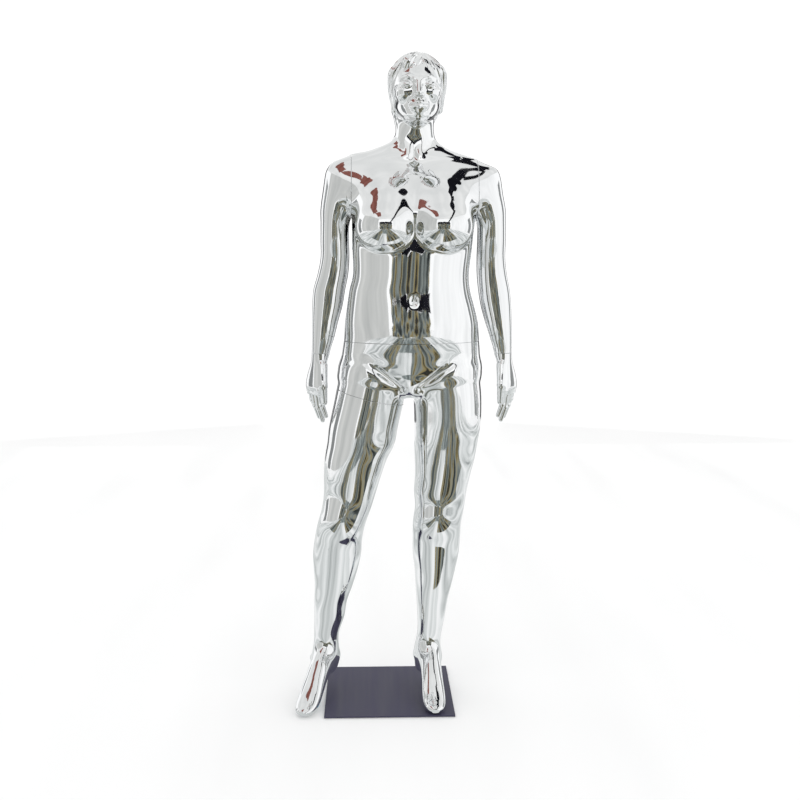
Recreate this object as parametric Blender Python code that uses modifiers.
"""Full body display mannequin: a plus-size female figure on a flat square base.

Metres, +Z up. The origin is the base plate's centre on the floor and the figure faces -Y.
"Left" and "right" are the mannequin's own: its right side is at -X.
The glossy mouldings are hollow shells that part at the waist, the right thigh, the shoulders and
the wrists. Each mouth is closed by a disc that carries a steel peg or socket.
"""
import math

import bmesh
import bpy
from mathutils import Matrix, Vector

# ---------------------------------------------------------------- driving dimensions
GAP = 0.0003                # clearance between pieces that touch
WALL = 0.006                # thickness of the moulded shells
SEAM = 0.0006               # open line where two mouldings meet
RECESS = 0.0036             # how far a closing disc sits back from the mouth
DISC = 0.008                # thickness of a closing disc
DISC_FIT = 0.0014           # easy fit of a disc's rim in its shell
PLATE = 0.003               # thickness of a steel fitting plate

BASE_SIDE = 0.350
BASE_THICKNESS = 0.004
BASE_CORNER = 0.003
UNDERLAY = 0.0015
BASE_TOP = UNDERLAY + BASE_THICKNESS

ROD_X = 0.1120
ROD_Y = 0.0340
ROD_RADIUS = 0.0070
ROD_TOP = 0.270
SLEEVE_WALL = 0.0025
BOLT_RADIUS = 0.0040
GRUB_HEIGHT = 0.150
GRUB_RADIUS = 0.0030

WAIST_Z = 0.9943
RIGHT_SEAM_X = -0.096
LEFT_SEAM_X = 0.237
SHOULDER_Y = 0.024
RIGHT_SHOULDER_Z = 1.400
LEFT_SHOULDER_Z = 1.396
WRIST_Z = 0.960

# The right thigh's cut: a point on it and the direction that the leg comes away in.
THIGH_POINT = Vector((-0.0500, 0.012, 0.8436))
THIGH_OUT = Vector((-0.2336, 0.0, -0.9723)).normalized()

# ---------------------------------------------------------------- the figure's stations
# Torso and neck: height, centre x, half width, front y, back y.
TORSO = [
    (0.860, 0.0560, 0.0850, -0.050, 0.078),
    (0.882, 0.0560, 0.1720, -0.100, 0.136),
    (0.914, 0.0600, 0.1900, -0.116, 0.160),
    (0.957, 0.0625, 0.1875, -0.124, 0.168),
    (1.001, 0.0635, 0.1825, -0.130, 0.150),
    (1.044, 0.0625, 0.1785, -0.133, 0.127),
    (1.087, 0.0600, 0.1700, -0.132, 0.109),
    (1.130, 0.0575, 0.1610, -0.129, 0.100),
    (1.172, 0.0605, 0.1545, -0.126, 0.098),
    (1.236, 0.0640, 0.1590, -0.121, 0.108),
    (1.300, 0.0670, 0.1640, -0.113, 0.121),
    (1.335, 0.0680, 0.1720, -0.107, 0.125),
    (1.362, 0.0690, 0.1960, -0.100, 0.126),
    (1.392, 0.0690, 0.2180, -0.088, 0.122),
    (1.425, 0.0680, 0.2250, -0.072, 0.112),
    (1.448, 0.0640, 0.2140, -0.058, 0.100),
    (1.468, 0.0550, 0.1880, -0.046, 0.090),
    (1.485, 0.0550, 0.1500, -0.038, 0.082),
    (1.501, 0.0600, 0.1020, -0.034, 0.076),
    (1.520, 0.0680, 0.0640, -0.034, 0.070),
    (1.545, 0.0720, 0.0500, -0.038, 0.066),
    (1.575, 0.0730, 0.0470, -0.042, 0.064),
    (1.610, 0.0740, 0.0460, -0.040, 0.062),
]
# Head: height, centre x, half width, front y, back y.
HEAD = [
    (1.563, 0.0735, 0.0200, -0.104, -0.060),
    (1.572, 0.0735, 0.0330, -0.114, -0.030),
    (1.590, 0.0740, 0.0500, -0.120, 0.040),
    (1.612, 0.0750, 0.0610, -0.122, 0.078),
    (1.640, 0.0760, 0.0700, -0.121, 0.096),
    (1.670, 0.0770, 0.0765, -0.119, 0.103),
    (1.700, 0.0770, 0.0760, -0.112, 0.100),
    (1.725, 0.0770, 0.0680, -0.098, 0.088),
    (1.743, 0.0775, 0.0530, -0.074, 0.068),
    (1.752, 0.0780, 0.0300, -0.044, 0.040),
]
# Legs: height, centre x, half width, front y, back y.
LEFT_LEG = [
    (0.060, 0.1090, 0.0300, 0.002, 0.072),
    (0.095, 0.1095, 0.0325, -0.008, 0.074),
    (0.125, 0.1100, 0.0330, -0.008, 0.068),
    (0.169, 0.1165, 0.0340, -0.010, 0.064),
    (0.216, 0.1210, 0.0385, -0.016, 0.068),
    (0.262, 0.1235, 0.0435, -0.023, 0.077),
    (0.308, 0.1275, 0.0505, -0.031, 0.087),
    (0.354, 0.1310, 0.0570, -0.038, 0.094),
    (0.400, 0.1325, 0.0640, -0.046, 0.092),
    (0.446, 0.1335, 0.0655, -0.056, 0.080),
    (0.491, 0.1345, 0.0665, -0.068, 0.069),
    (0.536, 0.1410, 0.0675, -0.073, 0.068),
    (0.581, 0.1430, 0.0720, -0.078, 0.076),
    (0.626, 0.1495, 0.0755, -0.085, 0.086),
    (0.671, 0.1545, 0.0815, -0.092, 0.096),
    (0.715, 0.1575, 0.0865, -0.097, 0.105),
    (0.760, 0.1615, 0.0905, -0.101, 0.114),
    (0.826, 0.1620, 0.0925, -0.104, 0.128),
    (0.880, 0.1580, 0.0930, -0.107, 0.140),
    (0.930, 0.1500, 0.0920, -0.108, 0.140),
    (0.965, 0.1400, 0.0700, -0.080, 0.110),
]
RIGHT_LEG = [
    (0.060, -0.1890, 0.0330, 0.002, 0.072),
    (0.099, -0.1790, 0.0340, -0.006, 0.074),
    (0.125, -0.1760, 0.0340, -0.006, 0.068),
    (0.169, -0.1740, 0.0350, -0.010, 0.064),
    (0.216, -0.1660, 0.0420, -0.018, 0.067),
    (0.262, -0.1620, 0.0460, -0.028, 0.073),
    (0.308, -0.1530, 0.0530, -0.038, 0.081),
    (0.354, -0.1470, 0.0610, -0.048, 0.087),
    (0.400, -0.1425, 0.0665, -0.058, 0.083),
    (0.446, -0.1380, 0.0655, -0.070, 0.070),
    (0.491, -0.1290, 0.0655, -0.083, 0.058),
    (0.536, -0.1150, 0.0670, -0.089, 0.056),
    (0.581, -0.1050, 0.0710, -0.093, 0.064),
    (0.626, -0.0980, 0.0780, -0.098, 0.076),
    (0.671, -0.0890, 0.0850, -0.102, 0.089),
    (0.715, -0.0745, 0.0920, -0.105, 0.101),
    (0.760, -0.0670, 0.0940, -0.106, 0.113),
    (0.826, -0.0520, 0.0950, -0.106, 0.128),
    (0.880, -0.0410, 0.0950, -0.107, 0.140),
    (0.930, -0.0300, 0.0920, -0.108, 0.140),
    (0.965, -0.0200, 0.0700, -0.080, 0.110),
]
# Feet: distance forward of the heel's back, half width, sole height, top height.
FOOT = [
    (0.004, 0.0180, 0.060, 0.098),
    (0.022, 0.0270, 0.050, 0.118),
    (0.060, 0.0290, 0.048, 0.130),
    (0.105, 0.0290, 0.036, 0.115),
    (0.150, 0.0300, 0.014, 0.082),
    (0.185, 0.0315, 0.002, 0.052),
    (0.215, 0.0290, 0.000, 0.032),
    (0.236, 0.0210, 0.001, 0.022),
    (0.246, 0.0100, 0.004, 0.016),
]
FOOT_LIFT = 0.0004          # sole above the plate, or above the floor beside it
LEFT_HEEL = Vector((0.1140, 0.0740, BASE_TOP + FOOT_LIFT))
LEFT_TOE_OUT = math.radians(2.0)
RIGHT_HEEL = Vector((-0.1640, 0.0640, 0.0030))
RIGHT_TOE_OUT = math.radians(-16.5)

# Arms, from the shoulder down: height, centre x, half width, front y, back y.
RIGHT_ARM = [
    (1.484, -0.0850, 0.0150, 0.004, 0.040),
    (1.469, -0.0980, 0.0400, -0.014, 0.058),
    (1.450, -0.1050, 0.0520, -0.028, 0.073),
    (1.425, -0.1100, 0.0540, -0.038, 0.081),
    (1.383, -0.1190, 0.0555, -0.045, 0.086),
    (1.342, -0.1330, 0.0470, -0.043, 0.083),
    (1.310, -0.1405, 0.0395, -0.038, 0.078),
    (1.260, -0.1420, 0.0385, -0.031, 0.073),
    (1.215, -0.1420, 0.0390, -0.024, 0.071),
    (1.172, -0.1480, 0.0415, -0.020, 0.069),
    (1.130, -0.1580, 0.0430, -0.020, 0.064),
    (1.087, -0.1635, 0.0410, -0.024, 0.058),
    (1.044, -0.1700, 0.0355, -0.027, 0.050),
    (1.001, -0.1755, 0.0300, -0.026, 0.040),
    (0.957, -0.1825, 0.0235, -0.022, 0.030),
    (0.920, -0.1870, 0.0220, -0.022, 0.028),
]
LEFT_ARM = [
    (1.471, 0.2200, 0.0150, 0.004, 0.040),
    (1.463, 0.2240, 0.0300, -0.010, 0.054),
    (1.450, 0.2350, 0.0520, -0.028, 0.073),
    (1.425, 0.2420, 0.0540, -0.038, 0.081),
    (1.383, 0.2520, 0.0560, -0.045, 0.086),
    (1.342, 0.2680, 0.0480, -0.043, 0.083),
    (1.310, 0.2770, 0.0400, -0.038, 0.078),
    (1.260, 0.2785, 0.0390, -0.031, 0.073),
    (1.215, 0.2780, 0.0390, -0.024, 0.071),
    (1.172, 0.2810, 0.0410, -0.020, 0.069),
    (1.130, 0.2870, 0.0430, -0.020, 0.064),
    (1.087, 0.2925, 0.0415, -0.024, 0.058),
    (1.044, 0.2990, 0.0365, -0.027, 0.050),
    (1.001, 0.3060, 0.0300, -0.026, 0.040),
    (0.957, 0.3120, 0.0235, -0.022, 0.030),
    (0.920, 0.3160, 0.0220, -0.022, 0.028),
]
# Hands, in their own frame: x towards the thumb, y out of the palm, z up from the wrist.
# Palm: height, centre x, half width, back of the hand, palm side.
PALM = [
    (0.012, 0.0000, 0.0250, -0.0245, 0.0245),
    (-0.004, 0.0000, 0.0240, -0.0240, 0.0220),
    (-0.028, -0.0010, 0.0270, -0.0250, 0.0120),
    (-0.058, -0.0030, 0.0360, -0.0290, 0.0010),
    (-0.088, -0.0040, 0.0400, -0.0320, -0.0040),
    (-0.112, -0.0040, 0.0370, -0.0280, -0.0060),
]
# Fingers, from the index finger: knuckle x, knuckle z, length, radius at the knuckle.
FINGERS = [
    (0.0245, -0.100, 0.077, 0.0088),
    (0.0065, -0.103, 0.089, 0.0090),
    (-0.0115, -0.101, 0.083, 0.0087),
    (-0.0290, -0.095, 0.067, 0.0078),
]
# A finger's path: share of its length below the knuckle, y, and share of the knuckle's radius.
FINGER_PATH = [
    (-0.30, -0.0175, 1.00),
    (0.00, -0.0180, 1.00),
    (0.50, -0.0120, 0.90),
    (0.90, 0.0000, 0.70),
]
# Thumb: x, y, z and radius along it.
THUMB = [
    (0.017, -0.006, -0.034, 0.0150),
    (0.033, -0.012, -0.084, 0.0112),
    (0.035, -0.010, -0.130, 0.0078),
]
RIGHT_WRIST = Vector((-0.1820, 0.004, WRIST_Z))
LEFT_WRIST = Vector((0.3117, 0.004, WRIST_Z))
HAND_TURN = math.radians(58.0)

MATERIALS = {
    "mirror_finish": ((0.80, 0.81, 0.82), 0.05, 1.0),
    "coated_plate": ((0.085, 0.080, 0.105), 0.45, 0.3),
    "underlay": ((0.62, 0.62, 0.62), 0.80, 0.0),
    "plated_steel": ((0.62, 0.62, 0.60), 0.28, 1.0),
    "closing_disc": ((0.72, 0.70, 0.66), 0.60, 0.0),
}


# ---------------------------------------------------------------- scene helpers
def clear_scene():
    for old in list(bpy.data.objects):
        bpy.data.objects.remove(old)


def new_collection(name):
    group = bpy.data.collections.new(name)
    bpy.context.scene.collection.children.link(group)
    return group


def material(name):
    """The named Principled material, made once."""
    if name in bpy.data.materials:
        return bpy.data.materials[name]
    colour, roughness, metallic = MATERIALS[name]
    made = bpy.data.materials.new(name)
    made.use_nodes = True
    shader = made.node_tree.nodes["Principled BSDF"]
    shader.inputs["Base Color"].default_value = (*colour, 1.0)
    shader.inputs["Roughness"].default_value = roughness
    shader.inputs["Metallic"].default_value = metallic
    return made


def from_bmesh(name, bm, finish=None):
    """An object of the mannequin, or a cutter when it has no finish."""
    bmesh.ops.recalc_face_normals(bm, faces=bm.faces)
    if bm.calc_volume(signed=True) < 0:
        bmesh.ops.reverse_faces(bm, faces=bm.faces)
    mesh = bpy.data.meshes.new(name)
    bm.to_mesh(mesh)
    bm.free()
    made = bpy.data.objects.new(name, mesh)
    if finish is None:
        CUTTERS.objects.link(made)
        made.display_type = "WIRE"
        made.hide_render = True
    else:
        PARTS.objects.link(made)
        mesh.materials.append(material(finish))
    return made


def boolean(target, cutter, operation="DIFFERENCE"):
    step = target.modifiers.new(operation.title(), "BOOLEAN")
    step.operation = operation
    step.solver = "EXACT"
    step.object = cutter
    return target


def baked(made):
    """The object with its modifiers applied, so that it can be cut or used again."""
    bpy.context.view_layer.update()
    graph = bpy.context.evaluated_depsgraph_get()
    mesh = bpy.data.meshes.new_from_object(made.evaluated_get(graph))
    made.modifiers.clear()
    made.data = mesh
    return made


# ---------------------------------------------------------------- plain solids
def turned_to(axis):
    """The rotation that lays +Z along the axis, with X kept level where it can be."""
    z = Vector(axis).normalized()
    x = Vector((0, 1, 0)).cross(z)
    if x.length < 0.1:
        x = Vector((1, 0, 0))
    x = x.normalized()
    y = z.cross(x)
    return Matrix((x, y, z)).transposed().to_4x4()


def place(centre, axis=(0, 0, 1)):
    return Matrix.Translation(Vector(centre)) @ turned_to(axis)


def box(name, where, low, high, finish=None):
    """A box given by its corners in the frame `where`."""
    bm = bmesh.new()
    size = [h - l for l, h in zip(low, high)]
    middle = [(h + l) / 2 for l, h in zip(low, high)]
    shape = where @ Matrix.Translation(middle) @ Matrix.Diagonal((*size, 1.0))
    bmesh.ops.create_cube(bm, size=1.0, matrix=shape)
    return from_bmesh(name, bm, finish)


def rod(name, where, radius, low, high, finish=None, sides=24, top_radius=None):
    """A cylinder or cone along the frame's own Z, from low to high."""
    bm = bmesh.new()
    top = radius if top_radius is None else top_radius
    shape = where @ Matrix.Translation((0, 0, (low + high) / 2))
    bmesh.ops.create_cone(bm, cap_ends=True, segments=sides, radius1=radius, radius2=top,
                          depth=high - low, matrix=shape)
    return from_bmesh(name, bm, finish)


def turned(name, where, profile, finish=None, sides=12):
    """A solid of revolution about the frame's Z. The profile is (radius, z), from bottom to top."""
    bm = bmesh.new()
    outline = [(0.0, profile[0][1])] + list(profile) + [(0.0, profile[-1][1])]
    corners = [bm.verts.new((radius, 0, z)) for radius, z in outline]
    edges = [bm.edges.new(pair) for pair in zip(corners, corners[1:])]
    bmesh.ops.spin(bm, geom=corners + edges, axis=(0, 0, 1), cent=(0, 0, 0), steps=sides,
                   angle=2 * math.pi, use_merge=True)
    bmesh.ops.remove_doubles(bm, verts=bm.verts, dist=1e-7)
    bm.transform(where)
    return from_bmesh(name, bm, finish)


def ball(name, centre, radii):
    bm = bmesh.new()
    shape = Matrix.Translation(Vector(centre)) @ Matrix.Diagonal((*radii, 1.0))
    bmesh.ops.create_uvsphere(bm, u_segments=20, v_segments=12, radius=1.0, matrix=shape)
    return from_bmesh(name, bm)


# ---------------------------------------------------------------- lofts
def between(stations, at):
    """A station read from a smooth curve through the list (Catmull-Rom) at the given first value."""
    rows = sorted(stations)
    last = len(rows) - 2
    index = 0
    while index < last and at > rows[index + 1][0]:
        index += 1
    p1, p2 = rows[index], rows[index + 1]
    p0 = rows[max(index - 1, 0)]
    p3 = rows[min(index + 2, len(rows) - 1)]
    span = p2[0] - p1[0]
    t = (at - p1[0]) / span
    out = [at]
    for k in range(1, len(p1)):
        rise1 = (p2[k] - p0[k]) / (p2[0] - p0[0]) * span
        rise2 = (p3[k] - p1[k]) / (p3[0] - p1[0]) * span
        out.append((2 * t**3 - 3 * t**2 + 1) * p1[k] + (t**3 - 2 * t**2 + t) * rise1
                   + (3 * t**2 - 2 * t**3) * p2[k] + (t**3 - t**2) * rise2)
    return tuple(out)


def ring_points(station, inset, sides, power):
    """The points of one level section. The front and back halves have their own depths."""
    z, centre, half, front, back = station
    middle = (front + back) / 2
    depth = (back - front) / 2 - inset
    width = half - inset
    points = []
    for k in range(sides):
        angle = 2 * math.pi * k / sides
        c, s = math.cos(angle), math.sin(angle)
        x = centre + width * math.copysign(abs(c) ** power, c)
        y = middle + depth * math.copysign(abs(s) ** power, s)
        points.append(Vector((x, y, z)))
    return points


def skin_rings(rings, name, finish=None):
    """A closed solid through a row of rings of equal count."""
    bm = bmesh.new()
    rows = [[bm.verts.new(p) for p in ring] for ring in rings]
    count = len(rings[0])
    for low, high in zip(rows, rows[1:]):
        for k in range(count):
            n = (k + 1) % count
            bm.faces.new((low[k], low[n], high[n], high[k]))
    bm.faces.new(list(reversed(rows[0])))
    bm.faces.new(rows[-1])
    return from_bmesh(name, bm, finish)


def loft(name, stations, low=None, high=None, inset=0.0, step=0.014, sides=28, power=0.92, finish=None):
    """A solid through level sections, between two heights."""
    heights = [row[0] for row in stations]
    low = min(heights) if low is None else low
    high = max(heights) if high is None else high
    count = max(2, round((high - low) / step) + 1)
    rings = []
    for k in range(count):
        at = low + (high - low) * k / (count - 1)
        rings.append(ring_points(between(stations, at), inset, sides, power))
    return skin_rings(rings, name, finish)


def foot_solid(name, heel, toe_out):
    """A foot on a raised heel, as upright sections across its length."""
    turn = Matrix.Translation(heel) @ Matrix.Rotation(toe_out, 4, "Z")
    rings = []
    count = 18
    sides = 20
    squareness = 0.85
    reach = FOOT[-1][0] - FOOT[0][0]
    for k in range(count):
        along = FOOT[0][0] + reach * k / (count - 1)
        _, half, sole, top = between(FOOT, along)
        ring = []
        for n in range(sides):
            angle = 2 * math.pi * n / sides
            c, s = math.cos(angle), math.sin(angle)
            x = half * math.copysign(abs(c) ** squareness, c)
            z = (sole + top) / 2 + (top - sole) / 2 * math.copysign(abs(s) ** squareness, s)
            ring.append(turn @ Vector((x, -along, z)))
        rings.append(ring)
    return skin_rings(rings, name)


def limb_rod(name, points):
    """A chain of tapered round pieces: points of (x, y, z, radius)."""
    pieces = []
    for start, end in zip(points, points[1:]):
        a, b = Vector(start[:3]), Vector(end[:3])
        where = place(a, b - a)
        pieces.append(rod(name, where, start[3], 0, (b - a).length, sides=12, top_radius=end[3]))
    for point in points:
        pieces.append(ball(name, point[:3], (point[3],) * 3))
    return pieces


def fused(name, pieces, voxel, relax, keep, finish):
    """Overlapping solids melted into one smooth skin."""
    bm = bmesh.new()
    for piece in pieces:
        piece.data.transform(piece.matrix_world)
        bm.from_mesh(piece.data)
        bpy.data.objects.remove(piece)
    mesh = bpy.data.meshes.new(name)
    bm.to_mesh(mesh)
    bm.free()
    made = bpy.data.objects.new(name, mesh)
    PARTS.objects.link(made)
    mesh.materials.append(material(finish))
    melt = made.modifiers.new("Melt", "REMESH")
    melt.mode = "VOXEL"
    melt.voxel_size = voxel
    soften = made.modifiers.new("Soften", "SMOOTH")
    soften.factor = 0.5
    soften.iterations = relax
    thin = made.modifiers.new("Thin", "DECIMATE")
    thin.ratio = keep
    return baked(made)


# ---------------------------------------------------------------- fittings
def screw(name, where, plate, disc):
    """A flush fixing screw through a plate into its disc. Its head faces the frame's +Z, at z = 0."""
    head, head_height = 0.0038, 0.0022
    shank, length = 0.0021, 0.0095
    profile = [(shank, -length), (shank, -head_height), (head, -head_height), (head, 0)]
    made = turned(name, where, profile, "plated_steel")
    boolean(made, rod("cut_" + name, where, 0.0016, -0.0012, 0.001, sides=6))
    room = [
        (shank + GAP, -length - GAP),
        (shank + GAP, -head_height - GAP),
        (head + GAP, -head_height - GAP),
        (head + GAP, 0.002),
    ]
    sink = turned("cut_" + name, where, room)
    boolean(plate, sink)
    boolean(disc, sink)
    return made


def screws(name, where, count, radius, start, plate, disc):
    for k in range(count):
        angle = start + 2 * math.pi * k / count
        spot = Matrix.Translation((radius * math.cos(angle), radius * math.sin(angle), 0))
        screw(f"{name}_screw_{k + 1}", where @ spot, plate, disc)


def square(half, z):
    corners = ((1, 1), (-1, 1), (-1, -1), (1, -1))
    return [Vector((half * x, half * y, z)) for x, y in corners]


def post_solid(name, where, side, low, height):
    """A square post with a tapered tip."""
    half = side / 2
    levels = [(half, low), (half, height - 0.3 * side), (half * 0.75, height)]
    return skin_rings([[where @ p for p in square(*level)] for level in levels], name)


def peg(name, where, radius, post, height):
    """A round plate with a square post that stands up from it. The plate's face is at z = 0."""
    made = rod(name, where, radius, -PLATE, 0, "plated_steel")
    boolean(made, post_solid("cut_" + name, where, post, -PLATE / 2, height), "UNION")
    return made


def socket(name, where, radius, post, depth, disc):
    """A round plate with a square tube behind it, which takes a peg. The plate's face is at z = 0."""
    wall = 0.0025
    outer = post / 2 + GAP + wall
    inner = post / 2 + GAP
    made = rod(name, where, radius, -PLATE, 0, "plated_steel")
    tube = box("cut_" + name, where, (-outer, -outer, -depth - wall), (outer, outer, -PLATE / 2))
    bore = box("cut_" + name, where, (-inner, -inner, -depth), (inner, inner, 0.001))
    boolean(made, tube, "UNION")
    boolean(made, bore)
    room = outer + GAP
    hole = box("cut_" + name, where, (-room, -room, -0.05), (room, room, 0.01))
    boolean(disc, hole)
    return made


def mouth(centre, outward):
    """The frame of a shell's mouth: origin on the seam's middle, +Z out of the shell."""
    return place(centre, outward)


def face_of(frame):
    """The frame of a fitting plate's outer face, flush with the shell's cut edge."""
    return frame @ Matrix.Translation((0, 0, -SEAM / 2))


def trim(shell, frame, low=(-0.5, -0.5), high=(0.5, 0.5)):
    """Cuts the shell off square at its mouth."""
    cutter = box("cut_" + shell.name, frame, (*low, -SEAM / 2), (*high, 0.9))
    return boolean(shell, cutter)


def inner_form(name, space, inset, finish=None):
    """The solid form of a shell's inside. A space is its stations and its lowest and highest level."""
    stations, low, high = space
    return loft(name, stations, low, high, inset=inset, step=0.025, sides=20, finish=finish)


def closing_disc(name, space, frame, reach=0.4):
    """A disc that fills a shell's mouth, cut from the form of the shell's inside."""
    disc = inner_form(name, space, WALL + DISC_FIT, "closing_disc")
    slab = box("cut_" + name, frame, (-reach, -reach, -RECESS - DISC), (reach, reach, -RECESS))
    boolean(disc, slab, "INTERSECT")
    return baked(disc)


def hollow(shell, space):
    return boolean(shell, inner_form("cut_" + shell.name, space, WALL))


# ---------------------------------------------------------------- base
def make_base():
    half = BASE_SIDE / 2
    plate = box("base_plate", Matrix(), (-half, -half, UNDERLAY), (half, half, BASE_TOP), "coated_plate")
    round_off = plate.modifiers.new("Edges", "BEVEL")
    round_off.width = 0.0006
    round_off.segments = 2
    inner = half - 0.0008
    sheet_top = UNDERLAY - GAP
    underlay = box("base_underlay", Matrix(), (-inner, -inner, 0), (inner, inner, sheet_top), "underlay")

    foot = Matrix.Translation((ROD_X, ROD_Y, 0))
    head_radius, head_height = 0.0085, 0.0036
    head_top = UNDERLAY + head_height
    bolt = rod("rod_bolt", foot, head_radius, UNDERLAY, head_top, "plated_steel", top_radius=BOLT_RADIUS)
    thread = rod("cut_rod_bolt", foot, BOLT_RADIUS, head_top - 0.001, BASE_TOP + 0.022)
    boolean(bolt, thread, "UNION")
    boolean(bolt, rod("cut_rod_bolt", foot, 0.0026, 0, UNDERLAY + 0.0022, sides=6))
    sink = rod("cut_base_plate", foot, head_radius + 2 * GAP, UNDERLAY - 0.0001, head_top,
               top_radius=BOLT_RADIUS + 2 * GAP)
    boolean(plate, sink)
    boolean(plate, rod("cut_base_plate", foot, BOLT_RADIUS + GAP, 0, 0.02))
    boolean(underlay, rod("cut_base_underlay", foot, 0.0115, -0.001, 0.01))

    support = rod("support_rod", foot, ROD_RADIUS, BASE_TOP + GAP, ROD_TOP, "plated_steel")
    boolean(support, rod("cut_support_rod", foot, BOLT_RADIUS + GAP, 0, BASE_TOP + 0.024))


# ---------------------------------------------------------------- lower body and right leg
WAIST_CENTRE = Vector((0.0630, 0.006, WAIST_Z))
WAIST_UP = mouth(WAIST_CENTRE, (0, 0, 1))
WAIST_DOWN = mouth(WAIST_CENTRE, (0, 0, -1))
THIGH_DOWN = mouth(THIGH_POINT, THIGH_OUT)
THIGH_UP = mouth(THIGH_POINT, -THIGH_OUT)
LEG_GAP = 0.120             # from the thigh fitting to the gap between the legs
WAIST_PLATE_RADIUS = 0.050
WAIST_POST = 0.026
WAIST_POST_HEIGHT = 0.050
THIGH_PLATE_RADIUS = 0.038
THIGH_POST = 0.020
THIGH_POST_HEIGHT = 0.036
SOCKET_SPARE = 0.002        # how much deeper a socket is than its peg is long
BUTTOCKS = [(-0.026, 0.080, 0.922), (0.148, 0.080, 0.922)]
BUTTOCK_RADII = (0.086, 0.090, 0.080)


def make_lower_body():
    pieces = [
        loft("pelvis", TORSO, high=WAIST_Z + 0.03),
        loft("left_leg", LEFT_LEG),
        loft("right_hip", RIGHT_LEG, low=0.76),
        foot_solid("left_foot", LEFT_HEEL, LEFT_TOE_OUT),
    ]
    pieces += [ball("buttock", centre, BUTTOCK_RADII) for centre in BUTTOCKS]
    shell = fused("lower_body_shell", pieces, 0.0055, 4, 0.026, "mirror_finish")
    trim(shell, WAIST_UP)
    trim(shell, THIGH_DOWN, low=(-LEG_GAP, -0.5), high=(0.3, 0.5))
    pelvis_space = (TORSO, 0.868, WAIST_Z + 0.02)
    hip_space = (RIGHT_LEG, 0.780, 0.879)
    hollow(shell, pelvis_space)
    hollow(shell, (LEFT_LEG, 0.320, 0.878))
    hollow(shell, hip_space)

    foot = Matrix.Translation((ROD_X, ROD_Y, 0))
    sleeve_radius = ROD_RADIUS + GAP + SLEEVE_WALL
    sleeve_top = ROD_TOP + GAP + 0.004
    sleeve = rod("rod_sleeve", foot, sleeve_radius, 0.060, sleeve_top, "plated_steel")
    boolean(sleeve, rod("cut_rod_sleeve", foot, ROD_RADIUS + GAP, 0.0, ROD_TOP + GAP))
    boolean(shell, rod("cut_lower_body_shell", foot, sleeve_radius + GAP, 0.0, sleeve_top + GAP))

    back = place((ROD_X, ROD_Y, GRUB_HEIGHT), (0, 1, 0))
    grub = rod("rod_grub_screw", back, GRUB_RADIUS, ROD_RADIUS + GAP, 0.0250, "plated_steel", sides=16)
    boolean(grub, rod("cut_rod_grub_screw", back, 0.0015, 0.0215, 0.03, sides=6))
    grub_hole = rod("cut_grub_hole", back, GRUB_RADIUS + GAP, 0.0005, 0.06, sides=16)
    boolean(sleeve, grub_hole)
    boolean(shell, grub_hole)

    disc = closing_disc("waist_lower_disc", pelvis_space, WAIST_UP)
    plate = peg("waist_peg", face_of(WAIST_UP), WAIST_PLATE_RADIUS, WAIST_POST, WAIST_POST_HEIGHT)
    screws("waist_peg", face_of(WAIST_UP), 3, 0.038, 0.5, plate, disc)

    disc = closing_disc("thigh_upper_disc", hip_space, THIGH_DOWN)
    depth = THIGH_POST_HEIGHT + SOCKET_SPARE
    plate = socket("thigh_socket", face_of(THIGH_DOWN), THIGH_PLATE_RADIUS, THIGH_POST, depth, disc)
    screws("thigh_socket", face_of(THIGH_DOWN), 2, 0.027, 0.0, plate, disc)


def make_right_leg():
    pieces = [
        loft("right_leg", RIGHT_LEG),
        foot_solid("right_foot", RIGHT_HEEL, RIGHT_TOE_OUT),
    ]
    shell = fused("right_leg_shell", pieces, 0.005, 4, 0.022, "mirror_finish")
    trim(shell, THIGH_UP)
    space = (RIGHT_LEG, 0.160, 0.879)
    hollow(shell, space)
    disc = closing_disc("right_leg_disc", space, THIGH_UP)
    plate = peg("right_leg_peg", face_of(THIGH_UP), THIGH_PLATE_RADIUS, THIGH_POST, THIGH_POST_HEIGHT)
    screws("right_leg_peg", face_of(THIGH_UP), 2, 0.027, 0.0, plate, disc)


# ---------------------------------------------------------------- torso
RIGHT_SHOULDER = Vector((RIGHT_SEAM_X, SHOULDER_Y, RIGHT_SHOULDER_Z))
LEFT_SHOULDER = Vector((LEFT_SEAM_X, SHOULDER_Y, LEFT_SHOULDER_Z))
ROTOR_RADIUS = 0.015
SHOULDER_RING_RADIUS = 0.032
ARM_PLATE_RADIUS = 0.026
ARM_POST = 0.014
ARM_POST_HEIGHT = 0.026
BREAST_MIDDLE_X = 0.067


def make_shoulder(side, centre, outward, trunk_space):
    """The torso's half of a shoulder: disc, ring and the rotor that turns in them."""
    frame = mouth(centre, outward)
    face = face_of(frame)
    disc = closing_disc(f"{side}_shoulder_disc", trunk_space, frame, reach=0.1)
    ring = rod(f"{side}_shoulder_ring", face, SHOULDER_RING_RADIUS, -PLATE, 0, "plated_steel")
    hole = rod("cut_shoulder_hole", face, ROTOR_RADIUS + GAP, -0.05, 0.01)
    boolean(disc, hole)
    boolean(ring, hole)
    screws(f"{side}_shoulder_ring", face, 2, 0.0235, math.pi / 2, ring, disc)

    back = -RECESS - DISC - GAP
    rotor = rod(f"{side}_shoulder_rotor", face, ROTOR_RADIUS, back - 0.018, 0, "plated_steel")
    flange = rod("cut_rotor_flange", face, ROTOR_RADIUS + 0.004, back - 0.003, back)
    boolean(rotor, flange, "UNION")
    half = ARM_POST / 2 + GAP
    bore = box("cut_rotor_bore", face, (-half, -half, -ARM_POST_HEIGHT - 0.002), (half, half, 0.001))
    boolean(rotor, bore)


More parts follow.
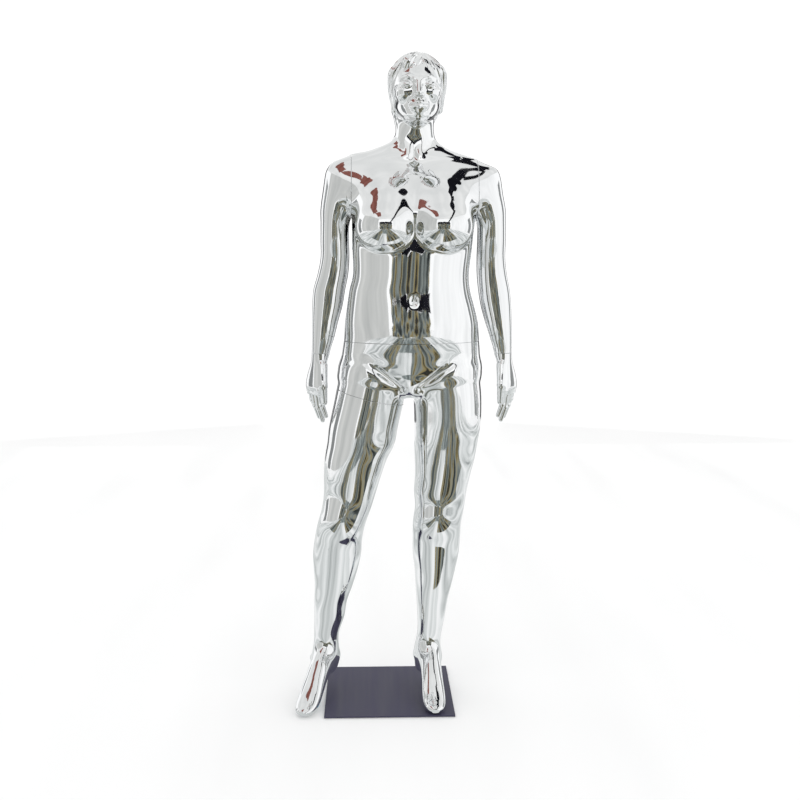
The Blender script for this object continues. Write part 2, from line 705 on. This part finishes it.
def make_torso():
    pieces = [
        loft("trunk", TORSO, low=WAIST_Z - 0.03),
        loft("head", HEAD),
        ball("nose", (0.0740, -0.118, 1.636), (0.011, 0.020, 0.020)),
        ball("hair_top", (0.0790, -0.004, 1.688), (0.078, 0.106, 0.063)),
    ]
    for side in (-1, 1):
        pieces.append(ball("breast", (BREAST_MIDDLE_X + side * 0.075, -0.084, 1.296), (0.078, 0.078, 0.070)))
        top = (BREAST_MIDDLE_X + side * 0.071, -0.066, 1.328)
        pieces.append(ball("breast_top", top, (0.074, 0.068, 0.082)))
    shell = fused("torso_shell", pieces, 0.0055, 4, 0.026, "mirror_finish")
    trim(shell, WAIST_DOWN)
    for side, centre in ((-1, RIGHT_SHOULDER), (1, LEFT_SHOULDER)):
        frame = mouth(centre, (side, 0, 0))
        trim(shell, frame, low=(-0.2, -0.2), high=(0.2, 0.2))
    trunk_space = (TORSO, WAIST_Z - 0.02, 1.608)
    hollow(shell, trunk_space)
    boolean(shell, ball("cut_head_hollow", (0.076, -0.006, 1.668), (0.062, 0.092, 0.066)))

    disc = closing_disc("torso_disc", trunk_space, WAIST_DOWN)
    depth = WAIST_POST_HEIGHT + SOCKET_SPARE
    plate = socket("waist_socket", face_of(WAIST_DOWN), WAIST_PLATE_RADIUS, WAIST_POST, depth, disc)
    screws("waist_socket", face_of(WAIST_DOWN), 3, 0.038, 0.2, plate, disc)
    make_shoulder("right", RIGHT_SHOULDER, (-1, 0, 0), trunk_space)
    make_shoulder("left", LEFT_SHOULDER, (1, 0, 0), trunk_space)


# ---------------------------------------------------------------- arms and hands
WRIST_ROTOR_RADIUS = 0.008
HAND_POST = 0.008
HAND_POST_HEIGHT = 0.016
HAND_PLATE_RADIUS = 0.012
HAND_STUB_RADIUS = 0.004
HAND_STUB_DEPTH = 0.018


def make_arm(side, stations, shoulder, inward, wrist):
    shell = fused(f"{side}_arm_shell", [loft("arm", stations)], 0.004, 4, 0.026, "mirror_finish")
    frame = mouth(shoulder, inward)
    trim(shell, frame)
    trim(shell, mouth(wrist, (0, 0, -1)))
    space = (stations, WRIST_Z + 0.030, 1.460)
    hollow(shell, space)
    disc = closing_disc(f"{side}_arm_disc", space, frame, reach=0.1)
    plate = peg(f"{side}_arm_peg", face_of(frame), ARM_PLATE_RADIUS, ARM_POST, ARM_POST_HEIGHT)
    screws(f"{side}_arm_peg", face_of(frame), 2, 0.0185, math.pi / 2, plate, disc)

    face = face_of(mouth(wrist, (0, 0, -1)))
    depth = HAND_POST_HEIGHT + 0.002
    rotor = rod(f"{side}_wrist_rotor", face, WRIST_ROTOR_RADIUS, -depth - 0.003, 0, "plated_steel")
    half = HAND_POST / 2 + GAP
    boolean(rotor, box("cut_wrist_bore", face, (-half, -half, -depth), (half, half, 0.001)))
    seat = rod("cut_wrist_seat", face, WRIST_ROTOR_RADIUS + GAP, -depth - 0.003 - GAP, 0.001)
    boolean(shell, seat)


def make_hand(side, wrist, thumb_side):
    """A hand that hangs from the wrist. thumb_side is 1 where the thumb points to +X and -1 for the other."""
    where = Matrix.Translation(wrist) @ Matrix.Rotation(-thumb_side * HAND_TURN, 4, "Z")
    palm = [(z, thumb_side * x, half, back, front) for z, x, half, back, front in PALM]
    pieces = [loft("palm", palm, step=0.008)]
    for x, z, length, radius in FINGERS:
        chain = [(thumb_side * x, y, z - share * length, radius * slim) for share, y, slim in FINGER_PATH]
        pieces += limb_rod("finger", chain)
    pieces += limb_rod("thumb", [(thumb_side * x, y, z, r) for x, y, z, r in THUMB])
    for piece in pieces:
        piece.data.transform(where)
    shell = fused(f"{side}_hand_shell", pieces, 0.0026, 2, 0.06, "mirror_finish")
    frame = mouth(wrist, (0, 0, 1))
    trim(shell, frame)
    face = face_of(frame)
    plate = peg(f"{side}_hand_peg", face, HAND_PLATE_RADIUS, HAND_POST, HAND_POST_HEIGHT)
    stub = rod("cut_hand_stub", face, HAND_STUB_RADIUS, -HAND_STUB_DEPTH, -PLATE / 2, sides=16)
    boolean(plate, stub, "UNION")
    boolean(shell, rod("cut_hand_seat", face, HAND_PLATE_RADIUS + GAP, -PLATE - GAP, 0.01))
    bore = rod("cut_hand_bore", face, HAND_STUB_RADIUS + GAP, -HAND_STUB_DEPTH - GAP, 0.01, sides=16)
    boolean(shell, bore)


# ---------------------------------------------------------------- the whole mannequin
clear_scene()
PARTS = new_collection("full_body_mannequin")
CUTTERS = new_collection("cutters")
make_base()
make_lower_body()
make_right_leg()
make_torso()
make_arm("right", RIGHT_ARM, RIGHT_SHOULDER, (1, 0, 0), RIGHT_WRIST)
make_arm("left", LEFT_ARM, LEFT_SHOULDER, (-1, 0, 0), LEFT_WRIST)
make_hand("right", RIGHT_WRIST, 1)
make_hand("left", LEFT_WRIST, -1)
